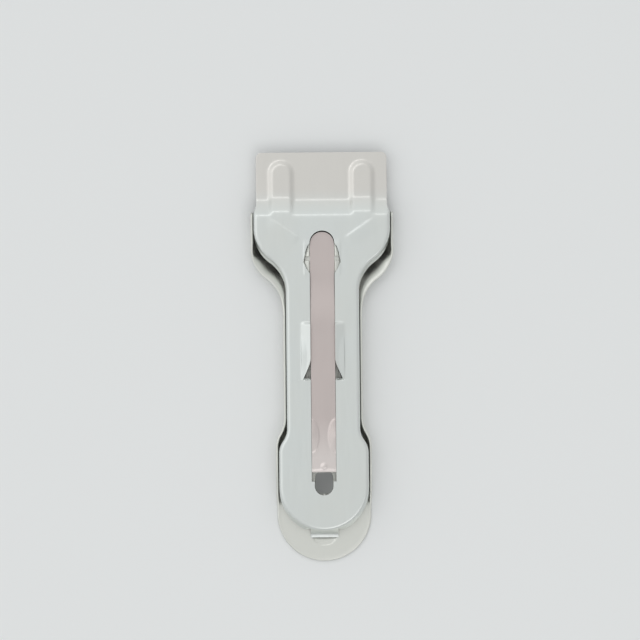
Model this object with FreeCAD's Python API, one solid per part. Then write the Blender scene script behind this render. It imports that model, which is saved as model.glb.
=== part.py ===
"""Ceramic hob scraper pressed from sheet steel: a handle shell, a guard cover, a leaf spring and a blade.

The tool lies flat with the blade towards +Y and the cover facing +Z. The origin is under its middle.
All sizes are in millimetres. The guard is modelled forward, over the blade, as the tool is stored.
"""

import FreeCAD, Part
import math
import os

V = FreeCAD.Vector

# Driving sizes of the pressed handle shell, the lower tray that the hand holds
shell_sheet = 0.8
shell_rim_height = 5.4
shell_tail_rim_height = 2.2
shell_bottom_radius = 1.8
shell_rim_radius = 0.3
waist_half_width = 13.1
bulb_half_width = 15.9
head_length = 11.9
shoulder_length = 20.5
waist_length = 35.7
flare_length = 9.9
bulb_length = 22.2
tail_rim_fall_length = 30.0

# Blade deck at the front of the shell, which a ramp joins to the floor
deck_side_margin = 0.6
deck_top_height = 3.0
deck_setback = 7.8
deck_corner_radius = 2.0
ramp_length = 3.8
ramp_setback = 23.2

# Blade and the two lugs that locate it
blade_width = 39.4
blade_depth = 19.0
blade_thickness = 0.3
blade_bevel_length = 1.6
blade_edge_thickness = 0.03
blade_edge_setback = 1.0
blade_corner_cut = 2.2
lug_radius = 1.5
lug_height = 0.9
lug_setback = 12.0
lug_fit_clearance = 0.12
lug_dimple_depth = 0.5

# Sliding guard cover, which lies inside the shell's rim
slide_travel = 5.2
shoulder_stop_gap = 0.2
cover_sheet = 0.7
cover_top_height = 7.5
cover_edge_radius = 1.2
cover_side_gap = 0.5
cover_skirt_clearance = 1.8
ledge_reach = 1.2
ledge_height = 5.0
cover_head_length = 4.5
cover_flare_length = 8.3
cover_flare_lag = 3.3
cover_tail_gap = 10.9
guard_plate_length = 15.9
guard_corner_radius = 1.8
guard_blade_clearance = 0.1
step_length = 4.7
step_side_flare = 0.65
step_bend_radius = 0.9

# Two raised channels in the guard that pass over the blade lugs
channel_spacing = 26.8
channel_width = 8.5
channel_height = 0.9
channel_front_setback = 2.6
channel_edge_radius = 0.45

# Hems folded under the guard's sides, which run on the blade deck
hem_front_setback = 3.0
hem_rear_setback = 15.0
hem_deck_clearance = 0.3
hem_side_clearance = 0.65
hem_lip_width = 2.0

# Slot in the cover that the leaf spring shows through
slot_width = 8.2
slot_front_setback = 26.0
slot_length = 82.9
slot_end_width = 6.2
slot_end_length = 4.6
window_width = 12.4
window_front_setback = 30.4
window_length = 9.6
window_widest_length = 6.0

# Raised thumb cheeks on both sides of the slot
cheek_width = 14.6
cheek_length = 19.5
cheek_front_setback = 55.9
cheek_height = 1.1
cheek_side_run = 3.1
cheek_end_run = 0.6
cheek_relief_length = 7.0
cheek_relief_depth = 2.7

# Tongue at the cover's tail, in front of a half-moon pocket coined into the shell's floor
tongue_width = 9.2
tongue_foot_length = 1.6
tongue_slope_run = 1.3
tongue_floor_clearance = 0.25
half_moon_width = 9.0
half_moon_length = 4.0
half_moon_gap = 0.5
half_moon_depth = 0.5

# Leaf spring on its strap, which is lanced out of the shell's floor
spring_width = 7.9
spring_sheet = 0.5
spring_length = 79.4
spring_front_setback = 26.4
spring_rise = 1.1
spring_flat_length = 15.0
spring_rise_length = 16.0
spring_end_lip_height = 0.45
spring_end_lip_length = 0.8
spring_nib_radius = 0.9
scoop_depth = 0.4
scoop_length = 12.4
scoop_setback = 16.0
strap_width = 12.0
strap_top_height = 5.35
strap_length = 19.0
strap_front_setback = 25.4
strap_leg_run = 4.2
strap_window_gap = 0.4
ear_length = 3.0
ear_setback = 37.0
ear_spring_clearance = 0.25
ear_cover_clearance = 0.25

# Extra reach that lets every cut pass its faces
overrun = 5.0

# Widths and heights that follow from the blade, the sheets and their clearances
deck_half_width = blade_width / 2 + deck_side_margin
guard_half_width = deck_half_width + hem_side_clearance + cover_sheet
cover_inset = shell_sheet + cover_side_gap
cover_head_half = guard_half_width + step_side_flare
cover_waist_half = waist_half_width - cover_inset
cover_bulb_half = bulb_half_width - cover_inset
head_half_width = cover_head_half + cover_inset
cover_under = cover_top_height - cover_sheet
skirt_bottom = shell_sheet + cover_skirt_clearance
blade_top = deck_top_height + blade_thickness
guard_under = blade_top + guard_blade_clearance
guard_top = guard_under + cover_sheet
spring_low_top = strap_top_height + spring_sheet
spring_high_top = spring_low_top + spring_rise

# Stations along the length, worked out from the sizes above
shell_lengths = (bulb_half_width, bulb_length, flare_length, waist_length, shoulder_length)
cover_front_length = cover_head_length + step_length + guard_plate_length
shoulder_shift = slide_travel + ledge_reach + shoulder_stop_gap
overall_length = sum(shell_lengths) + shoulder_shift + cover_front_length
front_y = overall_length / 2
tail_y = -overall_length / 2
shoulder_y = front_y - cover_front_length - shoulder_shift
head_front_y = shoulder_y + head_length
cover_shoulder_y = shoulder_y + shoulder_shift
crest_y = cover_shoulder_y + cover_head_length
step_foot_y = crest_y + step_length
ramp_top_y = front_y - ramp_setback
ramp_foot_y = ramp_top_y - ramp_length
deck_front_y = front_y - deck_setback
blade_edge_y = front_y - blade_edge_setback
lug_y = blade_edge_y - lug_setback
cover_tail_y = tail_y + cover_tail_gap
cover_waist_length = shoulder_shift + waist_length + cover_flare_lag
cover_bulb_y = cover_shoulder_y - shoulder_length - cover_waist_length - cover_flare_length
cover_bulb_length = cover_bulb_y - cover_tail_y - cover_bulb_half
spring_front_y = front_y - spring_front_setback
spring_end_y = spring_front_y - spring_length


def arc(start, middle, end):
    """One circular edge through three points."""
    return Part.Arc(start, middle, end).toShape()


def line(start, end):
    """One straight edge."""
    return Part.LineSegment(start, end).toShape()


def s_curve(x_from, y_from, x_to, y_to):
    """Two equal tangent arcs that carry a side from one half width to another, both ends along Y."""
    run = y_from - y_to
    shift = abs(x_from - x_to)
    radius = (shift**2 + run**2) / (4 * shift)
    half_turn = math.asin(run / 2 / radius) / 2
    inward = math.copysign(1, x_from - x_to)
    sag = inward * radius * (1 - math.cos(half_turn))
    reach = radius * math.sin(half_turn)
    middle = V((x_from + x_to) / 2, (y_from + y_to) / 2, 0)
    first = arc(V(x_from, y_from, 0), V(x_from - sag, y_from - reach, 0), middle)
    second = arc(middle, V(x_to + sag, y_to + reach, 0), V(x_to, y_to, 0))
    return [first, second]


def mirrored(shape):
    """The same shape on the other side of the YZ plane."""
    return shape.mirror(V(0, 0, 0), V(1, 0, 0))


def handle_outline(front, half_widths, shoulder_start, lengths):
    """Face of a head, S-shaped shoulders, a waist and a bulb with a round tail, the same on both sides."""
    head, waist, bulb = half_widths
    shoulder, straight, flare, bulb_straight = lengths
    waist_start = shoulder_start - shoulder
    flare_start = waist_start - straight
    bulb_start = flare_start - flare
    tail_centre = bulb_start - bulb_straight
    side = [line(V(head, front, 0), V(head, shoulder_start, 0))]
    side += s_curve(head, shoulder_start, waist, waist_start)
    side += [line(V(waist, waist_start, 0), V(waist, flare_start, 0))]
    side += s_curve(waist, flare_start, bulb, bulb_start)
    side += [line(V(bulb, bulb_start, 0), V(bulb, tail_centre, 0))]
    tail = arc(V(bulb, tail_centre, 0), V(0, tail_centre - bulb, 0), V(-bulb, tail_centre, 0))
    top = line(V(-head, front, 0), V(head, front, 0))
    edges = side + [tail, top] + [mirrored(edge) for edge in side]
    return Part.Face(Part.Wire(Part.__sortEdges__(edges)))


def prism(face, low, high):
    """A plan face drawn at height zero, raised into a solid between two heights."""
    raised = face.copy()
    raised.translate(V(0, 0, low))
    return raised.extrude(V(0, 0, high - low))


def rounded_rim(solid, height, radius, front):
    """Rounds the long edge of a prism at one height, apart from its straight front edge."""
    edges = []
    for edge in solid.Edges:
        box = edge.BoundBox
        level = abs(box.ZMin - height) < radius / 100 and abs(box.ZMax - height) < radius / 100
        if level and box.YMin < front - radius / 100:
            edges.append(edge)
    return solid.makeFillet(radius, edges)


def side_slab(points, half_width):
    """A closed outline in the YZ plane, carried across the tool on both sides of its middle."""
    corners = [V(-half_width, y, z) for y, z in points]
    face = Part.Face(Part.makePolygon(corners + corners[:1]))
    return face.extrude(V(2 * half_width, 0, 0))


def block(x_from, x_to, y_from, y_to, z_from, z_to):
    """A plain box between two corners."""
    size = (x_to - x_from, y_to - y_from, z_to - z_from)
    return Part.makeBox(*size, V(x_from, y_from, z_from))


def capsule(x, half_width, y_rear, y_front):
    """Plan face of a channel: straight sides, a square rear end and a round front end."""
    centre = y_front - half_width
    edges = [
        line(V(x - half_width, y_rear, 0), V(x + half_width, y_rear, 0)),
        line(V(x + half_width, y_rear, 0), V(x + half_width, centre, 0)),
        arc(V(x + half_width, centre, 0), V(x, y_front, 0), V(x - half_width, centre, 0)),
        line(V(x - half_width, centre, 0), V(x - half_width, y_rear, 0)),
    ]
    return Part.Face(Part.Wire(edges))


def shell_sheet_profile(drop):
    """The shell's floor, ramp and deck from the side, lowered by a distance: points from rear to front."""
    rise = deck_top_height - shell_sheet
    slope = math.hypot(ramp_length, rise) / ramp_length
    shift = drop * (slope - 1) * ramp_length / rise
    return [
        (tail_y, shell_sheet - drop),
        (ramp_foot_y + shift, shell_sheet - drop),
        (ramp_top_y + shift, deck_top_height - drop),
        (front_y, deck_top_height - drop),
    ]


def cover_sheet_profile(lift):
    """The cover's top, step and plate from the side, raised by a distance: points from rear to front."""
    fall = cover_top_height - guard_top
    slope = math.hypot(step_length, fall) / step_length
    shift = lift * (slope - 1) * step_length / fall
    return [
        (tail_y, cover_top_height + lift),
        (crest_y + shift, cover_top_height + lift),
        (step_foot_y + shift, guard_top + lift),
        (front_y + overrun, guard_top + lift),
    ]


def between(upper, lower, half_width):
    """Slab between two profiles that run the same way."""
    return side_slab(upper + lower[::-1], half_width)


def under(profile, depth, half_width):
    """Everything beneath a profile, down to a depth."""
    ends = [(profile[-1][0], depth), (profile[0][0], depth)]
    return side_slab(profile + ends, half_width)


def on_rim(edge):
    """Whether an edge lies along the top of the shell's rim, clear of its floor and its square front end."""
    box = edge.BoundBox
    above_floor = box.ZMin > shell_bottom_radius
    return above_floor and box.YLength > shell_sheet and edge.Length > 2 * shell_sheet


def shell_pan():
    """The tray's floor and walls, with a rounded bottom edge and a rim that falls towards the tail."""
    widths = (head_half_width, waist_half_width, bulb_half_width)
    lengths = (shoulder_length, waist_length, flare_length, bulb_length)
    front = head_front_y + overrun
    face = handle_outline(front, widths, shoulder_y, lengths)
    outer = rounded_rim(prism(face, 0, shell_rim_height), 0, shell_bottom_radius, front)
    inner_face = face.makeOffset2D(-shell_sheet)
    inner = prism(inner_face, shell_sheet, shell_rim_height + overrun)
    inner_radius = shell_bottom_radius - shell_sheet
    inner = rounded_rim(inner, shell_sheet, inner_radius, front - shell_sheet)
    pan = outer.cut(inner)
    beyond = block(-head_half_width - overrun, head_half_width + overrun, head_front_y, front + overrun,
                   -overrun, shell_rim_height + overrun)
    fall_start = tail_y + tail_rim_fall_length
    fall_middle = (tail_y + fall_start) / 2
    rim_drop = shell_rim_height - shell_tail_rim_height
    rim_bow = rim_drop / 8
    low = V(0, tail_y - overrun, shell_tail_rim_height)
    middle = V(0, fall_middle - overrun / 2, shell_tail_rim_height + rim_drop / 2 - rim_bow)
    high = V(0, fall_start, shell_rim_height)
    above = V(0, tail_y - overrun, shell_rim_height + overrun)
    fall = Part.Wire([arc(low, middle, high), line(high, above), line(above, low)])
    rim_cut = Part.Face(fall).extrude(V(2 * (bulb_half_width + overrun), 0, 0))
    rim_cut.translate(V(-bulb_half_width - overrun, 0, 0))
    pan = pan.cut(beyond).cut(rim_cut)
    rim = [e for e in pan.Edges if on_rim(e)]
    return pan.makeFillet(shell_rim_radius, rim)


def blade_deck():
    """The flat deck with rounded front corners, and the ramp that joins it to the tray's walls."""
    sheet = between(shell_sheet_profile(0), shell_sheet_profile(shell_sheet), head_half_width)
    corner = deck_corner_radius
    deck = block(-deck_half_width, deck_half_width, ramp_top_y, deck_front_y, 0, shell_rim_height)
    upright = [e for e in deck.Edges if e.BoundBox.ZLength > corner]
    deck = deck.makeFillet(corner, [e for e in upright if e.BoundBox.YMin > deck_front_y - corner])
    wall_middle = head_half_width - shell_sheet / 2
    ramp = block(-wall_middle, wall_middle, ramp_foot_y - overrun, ramp_top_y, 0, shell_rim_height)
    return sheet.common(deck.fuse(ramp))


def spring_strap():
    """The bridge lanced up from the floor that the spring lies on, with an ear on each side of the spring."""
    front = front_y - strap_front_setback
    rear = front - strap_length
    top_front, top_rear = front - strap_leg_run, rear + strap_leg_run
    floor = shell_sheet / 2
    low = strap_top_height - shell_sheet
    points = [
        (front, floor), (top_front, strap_top_height), (top_rear, strap_top_height), (rear, floor),
        (rear + shell_sheet, 0), (top_rear + shell_sheet / 2, low), (top_front - shell_sheet / 2, low),
        (front - shell_sheet, 0),
    ]
    strap = side_slab(points, strap_width / 2)
    ear_front = front_y - ear_setback
    ear_inner = spring_width / 2 + ear_spring_clearance
    ear_top = cover_under - ear_cover_clearance
    for side in (-1, 1):
        reach = sorted((side * ear_inner, side * (ear_inner + shell_sheet)))
        strap = strap.fuse(block(*reach, ear_front - ear_length, ear_front, low, ear_top))
    return strap


def half_moon_pocket():
    """Half-moon pocket behind the cover's tongue, straight towards the front and round towards the tail."""
    edge_y = cover_tail_y - tongue_slope_run - tongue_foot_length - half_moon_gap
    half = half_moon_width / 2
    face = Part.Face(Part.Wire([
        line(V(-half, edge_y, 0), V(half, edge_y, 0)),
        arc(V(half, edge_y, 0), V(0, edge_y - half_moon_length, 0), V(-half, edge_y, 0)),
    ]))
    return prism(face, shell_sheet - half_moon_depth, shell_sheet + overrun)


def blade_lugs():
    """Two half-pierced studs that stand up through the blade's holes."""
    lugs = []
    for side in (-1, 1):
        base = V(side * channel_spacing / 2, lug_y, deck_top_height - shell_sheet / 2)
        lug = Part.makeCylinder(lug_radius, shell_sheet / 2 + blade_thickness + lug_height, base)
        top = [e for e in lug.Edges if e.BoundBox.ZMin > deck_top_height]
        lugs.append(lug.makeChamfer(lug_radius / 3, top))
    return lugs


def handle_shell():
    """The whole pressed tray: pan, ramp, deck, spring strap and lugs in one sheet."""
    pan = shell_pan()
    front_room = under(shell_sheet_profile(shell_sheet), -overrun, head_half_width + overrun)
    floor_cut = block(-head_half_width, head_half_width, ramp_foot_y, head_front_y + overrun,
                      -overrun, shell_sheet + shell_bottom_radius)
    inside = handle_outline(head_front_y + overrun, (head_half_width, waist_half_width, bulb_half_width),
                            shoulder_y, (shoulder_length, waist_length, flare_length, bulb_length))
    inside = prism(inside.makeOffset2D(-shell_sheet), -overrun, shell_rim_height)
    pan = pan.cut(floor_cut.common(inside)).cut(front_room)
    shell = pan.fuse(blade_deck())
    strap_front = front_y - strap_front_setback
    gap_half = strap_width / 2 + strap_window_gap
    window = block(-gap_half, gap_half, strap_front - strap_length + shell_sheet, strap_front - shell_sheet,
                   -overrun, shell_sheet + overrun)
    shell = shell.cut(window).cut(half_moon_pocket())
    strap = spring_strap()
    shell = shell.fuse(strap)
    for lug in blade_lugs():
        shell = shell.fuse(lug)
    for side in (-1, 1):
        base = V(side * channel_spacing / 2, lug_y, deck_top_height - shell_sheet - overrun)
        shell = shell.cut(Part.makeCylinder(lug_radius, lug_dimple_depth + overrun, base))
    return shell.removeSplitter()


def scraper_blade():
    """Single-edged blade with clipped rear corners, a ground bevel and a hole for each lug."""
    half = blade_width / 2
    rear_y = blade_edge_y - blade_depth
    plan = Part.makePolygon([
        V(-half, blade_edge_y, 0), V(half, blade_edge_y, 0), V(half, rear_y + blade_corner_cut, 0),
        V(half - blade_corner_cut, rear_y, 0), V(-half + blade_corner_cut, rear_y, 0),
        V(-half, rear_y + blade_corner_cut, 0), V(-half, blade_edge_y, 0),
    ])
    blade = prism(Part.Face(plan), deck_top_height, blade_top)
    grind_y, beyond_y = blade_edge_y - blade_bevel_length, blade_edge_y + overrun
    edge_top, above = deck_top_height + blade_edge_thickness, blade_top + overrun
    grind = side_slab([
        (grind_y, blade_top), (blade_edge_y, edge_top),
        (beyond_y, edge_top), (beyond_y, above), (grind_y, above),
    ], half + overrun)
    blade = blade.cut(grind)
    for side in (-1, 1):
        base = V(side * channel_spacing / 2, lug_y, deck_top_height - overrun)
        blade = blade.cut(Part.makeCylinder(lug_radius + lug_fit_clearance, 2 * overrun, base))
    return blade


def cover_pan():
    """The cover's top and skirt behind the step, with a rounded top edge."""
    widths = (cover_head_half, cover_waist_half, cover_bulb_half)
    lengths = (shoulder_length, cover_waist_length, cover_flare_length, cover_bulb_length)
    front = crest_y + overrun
    face = handle_outline(front, widths, cover_shoulder_y, lengths)
    outer = prism(face, skirt_bottom, cover_top_height)
    outer = rounded_rim(outer, cover_top_height, cover_edge_radius, front)
    inner_face = face.makeOffset2D(-cover_sheet)
    inner = prism(inner_face, skirt_bottom - overrun, cover_under)
    inner = rounded_rim(inner, cover_under, cover_edge_radius - cover_sheet, front - cover_sheet)
    wide = head_half_width + overrun
    beyond = block(-wide, wide, crest_y, front + overrun, skirt_bottom - overrun, cover_top_height + overrun)
    ramp_relief = block(-wide, wide, ramp_foot_y, crest_y + overrun, skirt_bottom - overrun, guard_under)
    pan = stepped_skirt(outer.cut(inner), face, inner_face)
    return pan.cut(beyond).cut(ramp_relief)


def stepped_skirt(pan, face, inner_face):
    """Gives the skirt a ledge round the shoulders and the tail: below it the skirt stands further back."""
    shift = V(0, -ledge_reach, 0)
    outer_face, hollow_face = face.copy(), inner_face.copy()
    outer_face.translate(shift)
    hollow_face.translate(shift)
    low = skirt_bottom - overrun
    wide = head_half_width + overrun
    waist_y = cover_shoulder_y - shoulder_length
    tail_centre = cover_tail_y + cover_bulb_half
    shoulders = block(-wide, wide, waist_y - ledge_reach, cover_shoulder_y, low, ledge_height)
    tail = block(-wide, wide, tail_y - overrun, tail_centre, low, ledge_height)
    stretches = shoulders.fuse(tail)
    room = prism(hollow_face, low, ledge_height - cover_sheet).common(stretches)
    ledge = prism(outer_face, skirt_bottom, ledge_height).common(stretches)
    ledge = ledge.cut(room).cut(prism(inner_face, low, cover_top_height))
    return pan.cut(room).fuse(ledge)


def edge_at(solid, y, z):
    """The edge of a slab that runs across the tool at one place in the YZ plane."""
    near = shell_sheet / 100
    for edge in solid.Edges:
        box = edge.BoundBox
        if box.XLength > near and abs(box.Center.y - y) < near and abs(box.Center.z - z) < near:
            return edge


def crown_edges(solid):
    """Edges where the top of a raised channel meets its upright sides and its round end."""
    found = []
    for edge in solid.Edges:
        faces = solid.ancestorsOfType(edge, Part.Face)
        lifts = sorted(abs(face.normalAt(0, 0).z) for face in faces)
        ends_rear = edge.BoundBox.YMax < crest_y
        if edge.BoundBox.ZMin > guard_under and lifts[0] < lifts[1] / 2 and not ends_rear:
            found.append(edge)
    return found


def guard_front():
    """The step and the flat guard plate, with rounded front corners and two raised channels."""
    foot_half = guard_half_width
    corner = guard_corner_radius
    plan = Part.makePolygon([
        V(-cover_head_half, crest_y - cover_sheet, 0), V(cover_head_half, crest_y - cover_sheet, 0),
        V(cover_head_half, crest_y, 0), V(foot_half, step_foot_y, 0), V(foot_half, front_y, 0),
        V(-foot_half, front_y, 0), V(-foot_half, step_foot_y, 0), V(-cover_head_half, crest_y, 0),
        V(-cover_head_half, crest_y - cover_sheet, 0),
    ])
    column = prism(Part.Face(plan), 0, cover_top_height + overrun)
    corners = [e for e in column.Edges if e.BoundBox.ZLength > overrun and e.BoundBox.YMin > front_y - corner]
    column = column.makeFillet(corner, corners)
    wide = head_half_width + overrun
    bent = between(cover_sheet_profile(0), cover_sheet_profile(-cover_sheet), wide)
    outer_radius, inner_radius = step_bend_radius + cover_sheet, step_bend_radius
    upper, lower = cover_sheet_profile(0), cover_sheet_profile(-cover_sheet)
    bent = bent.makeFillet(outer_radius, [edge_at(bent, *upper[1]), edge_at(bent, *lower[2])])
    bent = bent.makeFillet(inner_radius, [edge_at(bent, *lower[1]), edge_at(bent, *upper[2])])
    sheet = column.common(bent)
    half = channel_width / 2
    channel_front = front_y - channel_front_setback
    rear_end = crest_y - cover_sheet
    for side in (-1, 1):
        x = side * channel_spacing / 2
        raised = prism(capsule(x, half, rear_end, channel_front), 0, cover_top_height)
        raised = raised.common(under(cover_sheet_profile(channel_height), guard_under, wide))
        raised = raised.makeFillet(channel_edge_radius, crown_edges(raised))
        hollow = capsule(x, half - cover_sheet, rear_end - overrun, channel_front - cover_sheet)
        hollow = prism(hollow, 0, cover_under)
        hollow = hollow.common(under(cover_sheet_profile(channel_height - cover_sheet), 0, wide))
        sheet = sheet.fuse(raised).cut(hollow)
    return sheet


def guard_hems():
    """A hem on each side of the guard, folded down and under the blade deck."""
    lip_top = deck_top_height - shell_sheet - hem_deck_clearance
    low = lip_top - cover_sheet
    hems = []
    for side in (-1, 1):
        outer = side * guard_half_width
        wall = sorted((outer, outer - side * cover_sheet))
        lip = sorted((outer, outer - side * hem_lip_width))
        rear, front = front_y - hem_rear_setback, front_y - hem_front_setback
        hem = block(*wall, rear, front, low, guard_under).fuse(block(*lip, rear, front, low, lip_top))
        hems.append(hem)
    return hems


def thumb_cheeks(lower, height):
    """A low hump with sloping sides and steep ends, lowered by a distance."""
    half, front = cheek_width / 2, front_y - cheek_front_setback
    rear = front - cheek_length
    base = cover_top_height - cover_sheet / 2 - lower
    top = cover_top_height + height - lower

    def ring(inset_x, inset_y, z):
        points = [
            V(half - inset_x, front - inset_y, z), V(half - inset_x, rear + inset_y, z),
            V(-half + inset_x, rear + inset_y, z), V(-half + inset_x, front - inset_y, z),
        ]
        return Part.makePolygon(points + points[:1])

    return Part.makeLoft([ring(0, 0, base), ring(cheek_side_run, cheek_end_run, top)], True, True)


def cover_slot():
    """Everything cut through the cover for the spring: slot, narrow end, strap window and cheek reliefs."""
    low, high = cover_under - overrun, cover_top_height + cheek_height + overrun
    slot_front = front_y - slot_front_setback
    slot_rear = slot_front - slot_length
    slot = prism(capsule(0, slot_width / 2, slot_rear, slot_front), low, high)
    end_half = slot_end_width / 2
    end_rear = slot_rear - slot_end_length
    narrow = capsule(0, end_half, -slot_rear, -end_rear)
    narrow = narrow.mirror(V(0, 0, 0), V(0, 1, 0))
    slot = slot.fuse(prism(narrow, low, high))
    half, straight = window_width / 2, slot_width / 2
    window_front = front_y - window_front_setback
    widest_y = window_front - window_widest_length
    window_rear = window_front - window_length
    cheek_rear = front_y - cheek_front_setback - cheek_length
    relief_half = straight + cheek_relief_depth
    plans = [
        [(straight, window_front), (half, widest_y), (straight, window_rear)],
        [(straight, cheek_rear + cheek_relief_length), (relief_half, cheek_rear), (straight, cheek_rear)],
    ]
    for plan in plans:
        right = [V(x, y, 0) for x, y in plan]
        left = [V(-x, y, 0) for x, y in plan[::-1]]
        opening = Part.Face(Part.makePolygon(right + left + right[:1]))
        slot = slot.fuse(prism(opening, low, high))
    return slot


def tail_tongue():
    """The tongue that slopes down from the cover's tail to a short foot just over the shell's floor."""
    foot_low = shell_sheet + tongue_floor_clearance
    foot_high = foot_low + cover_sheet
    slope_y = cover_tail_y - tongue_slope_run
    end_y = slope_y - tongue_foot_length
    top = (cover_top_height + cover_under) / 2
    points = [
        (cover_tail_y + cover_sheet, top), (slope_y, foot_high), (end_y, foot_high), (end_y, foot_low),
        (slope_y - cover_sheet / 2, foot_low), (cover_tail_y + cover_sheet / 2, foot_high),
        (cover_tail_y + cover_sheet, foot_high + cover_sheet),
    ]
    return side_slab(points, tongue_width / 2)


def guard_cover():
    """The whole sliding cover: top, skirt, step, guard plate, hems, cheeks, slot and tongue."""
    cover = cover_pan().fuse(guard_front())
    for hem in guard_hems():
        cover = cover.fuse(hem)
    cover = cover.fuse(thumb_cheeks(0, cheek_height)).cut(thumb_cheeks(cover_sheet, cheek_height))
    cover = cover.cut(cover_slot()).fuse(tail_tongue())
    return cover.removeSplitter()


def spring_profile(drop):
    """The spring's top from the side, lowered by a distance: flat, a gentle rise and flat to the rear."""
    rise_start = spring_front_y - spring_flat_length
    rise_end = rise_start - spring_rise_length
    low, high = spring_low_top - drop, spring_high_top - drop
    middle_y, middle_z = (rise_start + rise_end) / 2, (low + high) / 2
    bow = spring_rise / 8
    quarter = spring_rise_length / 4
    return [
        line(V(0, spring_front_y, low), V(0, rise_start, low)),
        arc(V(0, rise_start, low), V(0, rise_start - quarter, low + bow), V(0, middle_y, middle_z)),
        arc(V(0, middle_y, middle_z), V(0, rise_end + quarter, high - bow), V(0, rise_end, high)),
        line(V(0, rise_end, high), V(0, spring_end_y, high)),
    ]


def leaf_spring():
    """The strip of spring steel with a round front end, a thumb scoop, a nib and a turned-up end."""
    upper, lower = spring_profile(0), spring_profile(spring_sheet)
    front = line(V(0, spring_front_y, spring_low_top), V(0, spring_front_y, strap_top_height))
    end = line(V(0, spring_end_y, spring_high_top), V(0, spring_end_y, spring_high_top - spring_sheet))
    side = Part.Face(Part.Wire(Part.__sortEdges__(upper + lower + [front, end])))
    strip = side.extrude(V(spring_width, 0, 0))
    half = spring_width / 2
    strip.translate(V(-half, 0, 0))
    plan = capsule(0, half, spring_end_y - overrun, spring_front_y)
    strip = strip.common(prism(plan, 0, cover_top_height + overrun))
    scoop_radius = (scoop_length**2 / 4 + scoop_depth**2) / (2 * scoop_depth)
    scoop_y = spring_end_y + scoop_setback
    centre = V(0, scoop_y, spring_high_top + scoop_radius - scoop_depth)
    bowl = Part.makeSphere(scoop_radius, centre)
    around = block(-half, half, scoop_y - scoop_length, scoop_y + scoop_length,
                   spring_high_top - 2 * spring_sheet - scoop_depth, spring_high_top - spring_sheet / 2)
    dish = Part.makeSphere(scoop_radius + spring_sheet, centre).common(around)
    strip = strip.fuse(dish).cut(bowl)
    lip_top = spring_high_top + spring_end_lip_height
    lip = block(-half, half, spring_end_y, spring_end_y + spring_end_lip_length,
                spring_high_top - spring_sheet / 2, lip_top)
    nib_y = spring_end_y + spring_end_lip_length + spring_nib_radius
    nib_base = V(0, nib_y, spring_high_top - spring_sheet / 2)
    nib = Part.makeCylinder(spring_nib_radius, spring_sheet / 2 + spring_end_lip_height, nib_base)
    top = [e for e in nib.Edges if e.BoundBox.ZMin > spring_high_top]
    nib = nib.makeFillet(spring_end_lip_height / 2, top)
    return strip.fuse(lip).fuse(nib).removeSplitter()


def main():
    """Builds every piece, writes it to its own file and prints its size."""
    os.makedirs("parts", exist_ok=True)
    pieces = {
        "handle_shell": handle_shell(),
        "guard_cover": guard_cover(),
        "leaf_spring": leaf_spring(),
        "scraper_blade": scraper_blade(),
    }
    for name, shape in pieces.items():
        box = shape.BoundBox
        print(name, shape.isValid(), len(shape.Solids), round(shape.Volume, 2),
              [round(v, 2) for v in (box.XMin, box.XMax, box.YMin, box.YMax, box.ZMin, box.ZMax)])
        shape.exportStep(f"parts/{name}.step")


main()
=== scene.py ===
"""Looks of a pressed steel hob scraper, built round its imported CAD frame. Sizes are in millimetres."""

import math

import bmesh
import bpy
import numpy as np
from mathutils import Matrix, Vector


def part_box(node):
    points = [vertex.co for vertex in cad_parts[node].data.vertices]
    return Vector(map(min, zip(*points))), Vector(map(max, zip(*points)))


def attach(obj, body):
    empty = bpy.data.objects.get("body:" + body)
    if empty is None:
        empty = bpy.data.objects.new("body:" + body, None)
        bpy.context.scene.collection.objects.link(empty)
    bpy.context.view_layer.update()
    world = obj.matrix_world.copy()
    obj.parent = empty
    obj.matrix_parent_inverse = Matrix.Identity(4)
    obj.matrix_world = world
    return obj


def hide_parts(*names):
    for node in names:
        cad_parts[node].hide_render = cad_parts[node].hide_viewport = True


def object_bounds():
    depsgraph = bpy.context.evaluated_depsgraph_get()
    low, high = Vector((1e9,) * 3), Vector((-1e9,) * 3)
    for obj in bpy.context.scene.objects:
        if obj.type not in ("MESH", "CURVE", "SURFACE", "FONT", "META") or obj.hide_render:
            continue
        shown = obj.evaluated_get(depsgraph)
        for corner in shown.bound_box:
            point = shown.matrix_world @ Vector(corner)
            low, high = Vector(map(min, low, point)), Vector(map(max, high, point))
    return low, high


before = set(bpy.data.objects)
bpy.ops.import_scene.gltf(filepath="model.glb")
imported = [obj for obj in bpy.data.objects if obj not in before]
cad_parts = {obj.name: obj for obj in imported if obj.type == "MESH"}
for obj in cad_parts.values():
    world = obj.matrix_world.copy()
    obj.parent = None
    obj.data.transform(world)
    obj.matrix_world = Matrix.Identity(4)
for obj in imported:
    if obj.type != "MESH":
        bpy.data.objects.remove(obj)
cad_low, cad_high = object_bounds()

# Studio
# A pale matt table under a grey sky that is brighter ahead of the tool and to its left, with three weak
# softboxes in front, on the left and at the rear, so that plated sheet reads light grey with soft edges.
MM = 0.001


def linear(hex_colour):
    """sRGB hex colour to linear RGBA: the standard sRGB curve on each channel, alpha one."""
    values = [int(hex_colour[i:i + 2], 16) / 255 for i in (1, 3, 5)]
    return tuple(v / 12.92 if v <= 0.04045 else ((v + 0.055) / 1.055) ** 2.4 for v in values) + (1.0,)


def add_node(tree, kind, settings=None, inputs=None):
    """Adds one shader node, sets its attributes, and sets its inputs or links them to other sockets."""
    new = tree.nodes.new(kind)
    for name, value in (settings or {}).items():
        setattr(new, name, value)
    for name, value in (inputs or {}).items():
        if isinstance(value, bpy.types.NodeSocket):
            tree.links.new(value, new.inputs[name])
        else:
            new.inputs[name].default_value = value
    return new


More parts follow.
